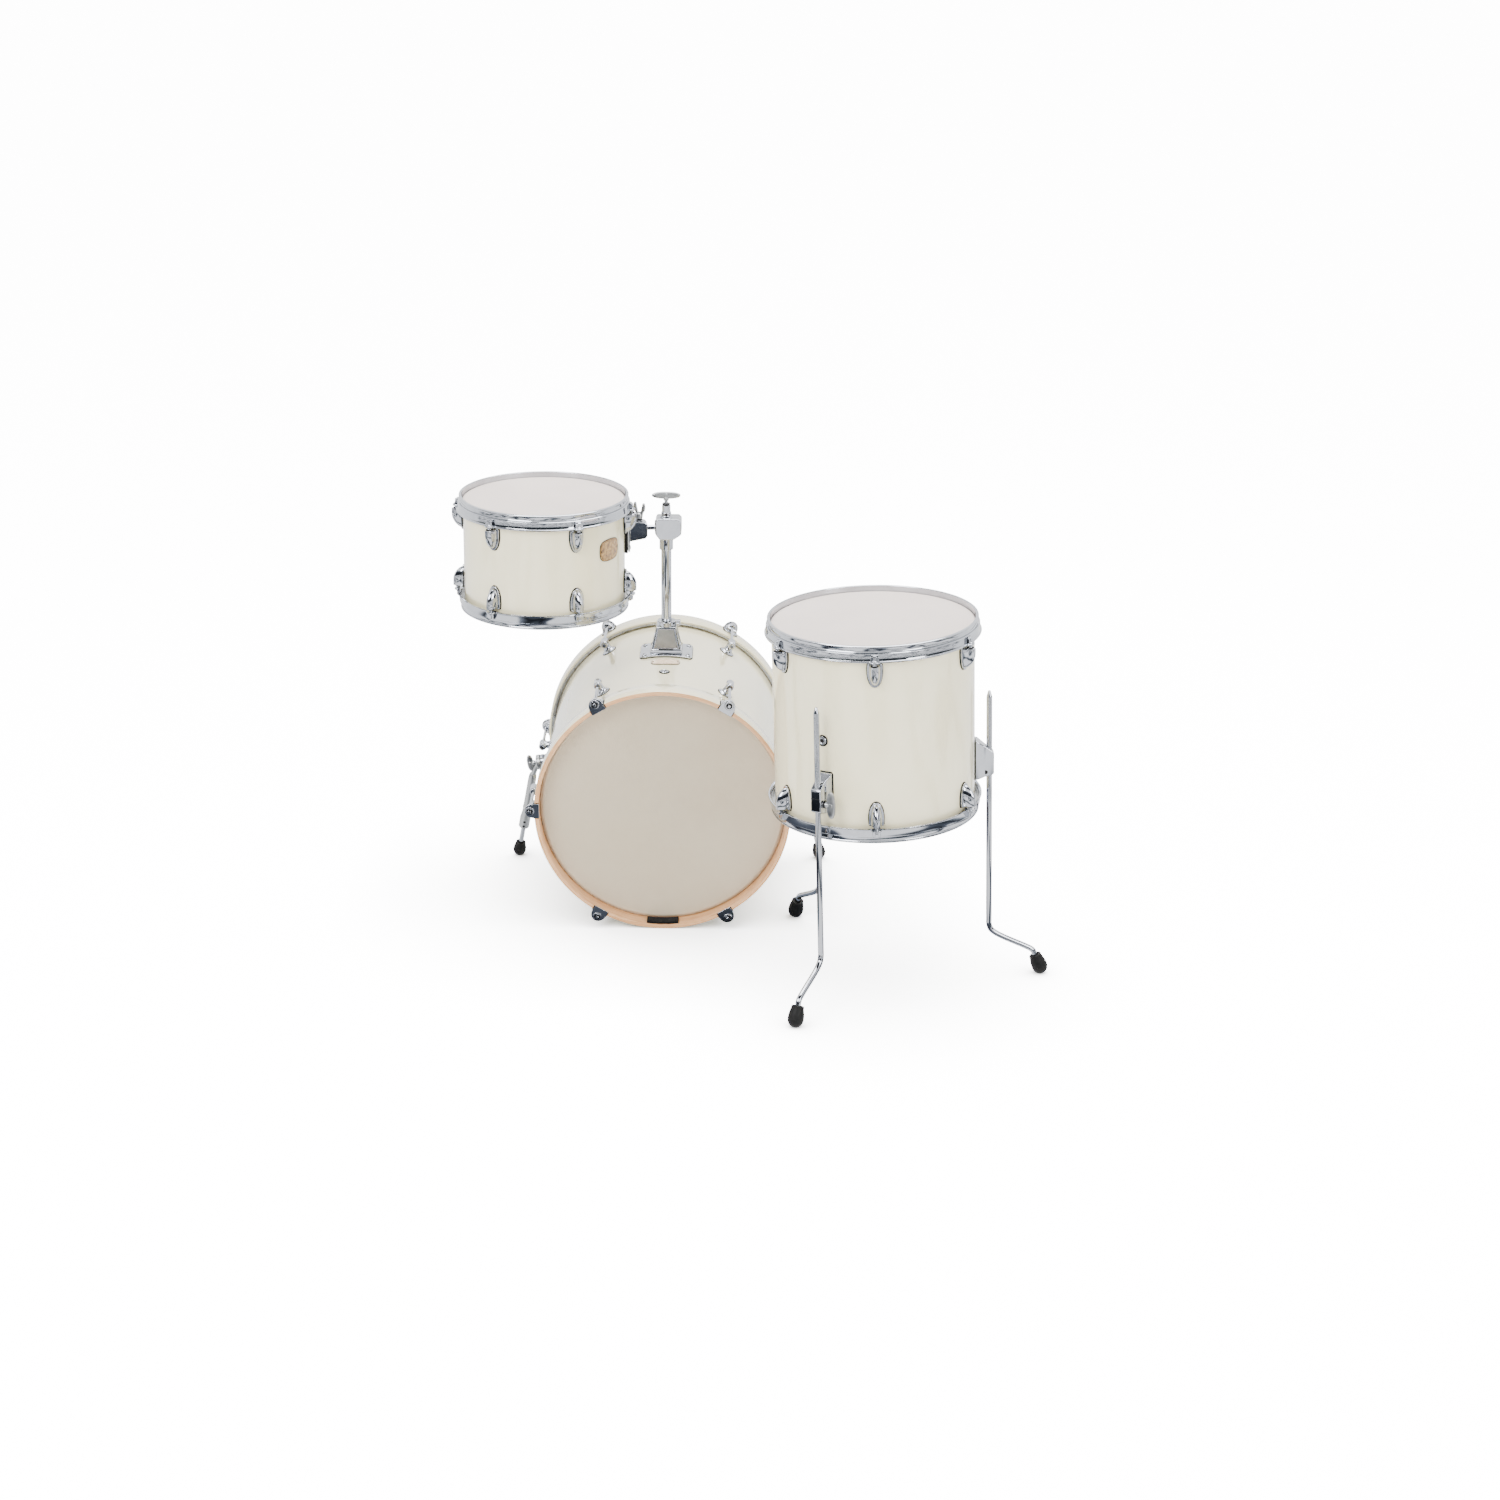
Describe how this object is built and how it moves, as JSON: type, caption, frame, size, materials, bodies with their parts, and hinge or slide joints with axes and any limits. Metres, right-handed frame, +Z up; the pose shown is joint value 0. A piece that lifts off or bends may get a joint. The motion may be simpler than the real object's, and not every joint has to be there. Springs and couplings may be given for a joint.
{
  "type": "jazz drum kit",
  "caption": "Acoustic jazz drum shell kit: a bass drum on folding spurs carries a rack tom on a ball-jointed post, beside a floor tom on adjustable bent legs.",
  "frame": {"origin": "centre of the kit's bounding box, on the floor", "axes": "+Z up, +X to the player's right along the kit's longest side, +Y from the player's side through the bass drum"},
  "size_m": [1.1068, 0.8966, 0.8003],
  "materials": {
    "ivory_lacquer": "high-gloss ivory lacquer over a wood shell",
    "natural_maple": "clear satin lacquer",
    "coated_film": "frosted coating",
    "clear_film": "translucent film",
    "bright_chrome": "polished plating",
    "satin_metal": "satin plated die casting",
    "black_rubber": "matte black",
    "black_resin": "matte black",
    "badge_metal": "warm wood-tone enamel with dark border"
  },
  "bodies": {
    "bass_drum": {"bass_shell": "ivory_lacquer", "bass_batter_head": "coated_film", "bass_front_head": "clear_film", "bass_batter_hoop": "natural_maple", "bass_front_hoop": "ivory_lacquer", "bass_pedal_pad": "black_rubber", "bass_vent": "bright_chrome", "bass_badge": "badge_metal", "tom_mount_base": "bright_chrome", "spur_bracket_left": "bright_chrome", "spur_bracket_right": "bright_chrome"},
    "mount_bolt": {"tom_mount_bolt": "satin_metal"},
    "memory_lock": {"memory_lock": "bright_chrome"},
    "tom_post": {"tom_post": "bright_chrome", "ball_clamp": "bright_chrome"},
    "clamp_bolt": {"ball_clamp_bolt": "satin_metal"},
    "clamp_ball": {"clamp_ball": "black_resin"},
    "hex_rod": {"hex_rod": "bright_chrome"},
    "rack_tom": {"rack_tom_shell": "ivory_lacquer", "rack_tom_vent": "bright_chrome", "rack_tom_batter_head": "coated_film", "rack_tom_bottom_head": "clear_film", "rack_tom_top_rim": "bright_chrome", "rack_tom_bottom_rim": "bright_chrome", "rack_tom_badge": "badge_metal", "tom_bracket_gasket": "black_rubber", "tom_bracket": "bright_chrome"},
    "bracket_bolt": {"tom_bracket_bolt": "satin_metal"},
    "spur_tube_left": {"spur_tube_left": "satin_metal"},
    "spur_rod_left": {"spur_rod_left": "bright_chrome", "spur_foot_left": "black_rubber"},
    "spur_bolt_left": {"spur_bolt_left": "satin_metal"},
    "spur_tube_right": {"spur_tube_right": "satin_metal"},
    "spur_rod_right": {"spur_rod_right": "bright_chrome", "spur_foot_right": "black_rubber"},
    "spur_bolt_right": {"spur_bolt_right": "satin_metal"},
    "floor_tom": {"floor_tom_shell": "ivory_lacquer", "floor_tom_vent": "bright_chrome", "floor_tom_batter_head": "coated_film", "floor_tom_bottom_head": "clear_film", "floor_tom_top_rim": "bright_chrome", "floor_tom_bottom_rim": "bright_chrome", "floor_tom_badge": "badge_metal", "leg_bracket_front_left": "bright_chrome", "leg_bracket_right": "bright_chrome", "leg_bracket_rear_left": "bright_chrome"},
    "leg_front_left": {"leg_front_left": "bright_chrome", "leg_foot_front_left": "black_rubber"},
    "leg_bolt_front_left": {"leg_bolt_front_left": "satin_metal"},
    "leg_right": {"leg_right": "bright_chrome", "leg_foot_right": "black_rubber"},
    "leg_bolt_right": {"leg_bolt_right": "satin_metal"},
    "leg_rear_left": {"leg_rear_left": "bright_chrome", "leg_foot_rear_left": "black_rubber"},
    "leg_bolt_rear_left": {"leg_bolt_rear_left": "satin_metal"}
  },
  "joints": [
    {"name": "mount_bolt_turn", "type": "hinge", "parent": "bass_drum", "child": "mount_bolt", "pos_m": [-0.15228, 0.27511, 0.50981], "axis": [0, 0.9986, 0.0523], "range_deg": [-90, 90]},
    {"name": "memory_lock_swivel", "type": "hinge", "parent": "bass_drum", "child": "memory_lock", "pos_m": [-0.15228, 0.23375, 0.53468], "axis": [0, -0.0523, 0.9986], "range_deg": [-25, 25]},
    {"name": "tom_height", "type": "slide", "parent": "bass_drum", "child": "tom_post", "axis": [0, -0.0523, 0.9986], "range_m": [-0.04, 0.05]},
    {"name": "clamp_bolt_turn", "type": "hinge", "parent": "tom_post", "child": "clamp_bolt", "pos_m": [-0.15228, 0.22161, 0.76636], "axis": [0, -0.0523, 0.9986], "range_deg": [-90, 90]},
    {"name": "tom_swing", "type": "hinge", "parent": "tom_post", "child": "clamp_ball", "pos_m": [-0.15228, 0.22386, 0.72342], "axis": [0, -0.0523, 0.9986], "range_deg": [-10, 10]},
    {"name": "tom_tilt", "type": "hinge", "parent": "clamp_ball", "child": "hex_rod", "pos_m": [-0.15228, 0.22386, 0.72342], "axis": [0.1392, -0.9897, -0.0336], "range_deg": [-10, 10]},
    {"name": "tom_reach", "type": "slide", "parent": "hex_rod", "child": "rack_tom", "axis": [-0.9903, -0.1393, 0.0006], "range_m": [-0.008, 0.006]},
    {"name": "bracket_bolt_turn", "type": "hinge", "parent": "rack_tom", "child": "bracket_bolt", "pos_m": [-0.20231, 0.21632, 0.73824], "axis": [0.0052, -0.0332, 0.9994], "range_deg": [-25, 25]},
    {"name": "spur_fold_left", "type": "hinge", "parent": "bass_drum", "child": "spur_tube_left", "pos_m": [-0.40201, 0.32428, 0.22122], "axis": [0.991, -0.007, 0.1338], "range_deg": [0, 60]},
    {"name": "spur_length_left", "type": "slide", "parent": "spur_tube_left", "child": "spur_rod_left", "axis": [-0.1774, 0.3069, -0.935], "range_m": [-0.03, 0.03]},
    {"name": "spur_bolt_turn_left", "type": "hinge", "parent": "spur_tube_left", "child": "spur_bolt_left", "pos_m": [-0.41177, 0.32435, 0.2199], "axis": [-0.991, 0.007, -0.1338], "range_deg": [-25, 25]},
    {"name": "spur_fold_right", "type": "hinge", "parent": "bass_drum", "child": "spur_tube_right", "pos_m": [0.09745, 0.32428, 0.22122], "axis": [0.991, 0.007, -0.1338], "range_deg": [0, 60]},
    {"name": "spur_length_right", "type": "slide", "parent": "spur_tube_right", "child": "spur_rod_right", "axis": [0.1774, 0.3069, -0.935], "range_m": [-0.03, 0.03]},
    {"name": "spur_bolt_turn_right", "type": "hinge", "parent": "spur_tube_right", "child": "spur_bolt_right", "pos_m": [0.10721, 0.32435, 0.2199], "axis": [0.991, 0.007, -0.1338], "range_deg": [-25, 25]},
    {"name": "floor_tom_place", "type": "slide", "parent": "bass_drum", "child": "floor_tom", "axis": [1, 0, 0], "range_m": [0, 0.25]},
    {"name": "leg_height_front_left", "type": "slide", "parent": "floor_tom", "child": "leg_front_left", "axis": [-0.0347, -0.0187, 0.9992], "range_m": [-0.08, 0.1]},
    {"name": "leg_bolt_turn_front_left", "type": "hinge", "parent": "floor_tom", "child": "leg_bolt_front_left", "pos_m": [0.13804, -0.36455, 0.38498], "axis": [0.8611, -0.508, 0.0204], "range_deg": [-30, 30]},
    {"name": "leg_height_right", "type": "slide", "parent": "floor_tom", "child": "leg_right", "axis": [-0.0347, -0.0187, 0.9992], "range_m": [-0.08, 0.1]},
    {"name": "leg_bolt_turn_right", "type": "hinge", "parent": "floor_tom", "child": "leg_bolt_right", "pos_m": [0.43084, -0.17911, 0.39862], "axis": [0.0087, 0.9998, 0.019], "range_deg": [-30, 30]},
    {"name": "leg_height_rear_left", "type": "slide", "parent": "floor_tom", "child": "leg_rear_left", "axis": [-0.0347, -0.0187, 0.9992], "range_m": [-0.08, 0.1]},
    {"name": "leg_bolt_turn_rear_left", "type": "hinge", "parent": "floor_tom", "child": "leg_bolt_rear_left", "pos_m": [0.12376, -0.01805, 0.39096], "axis": [-0.8698, -0.4918, -0.0394], "range_deg": [-30, 30]}
  ]
}
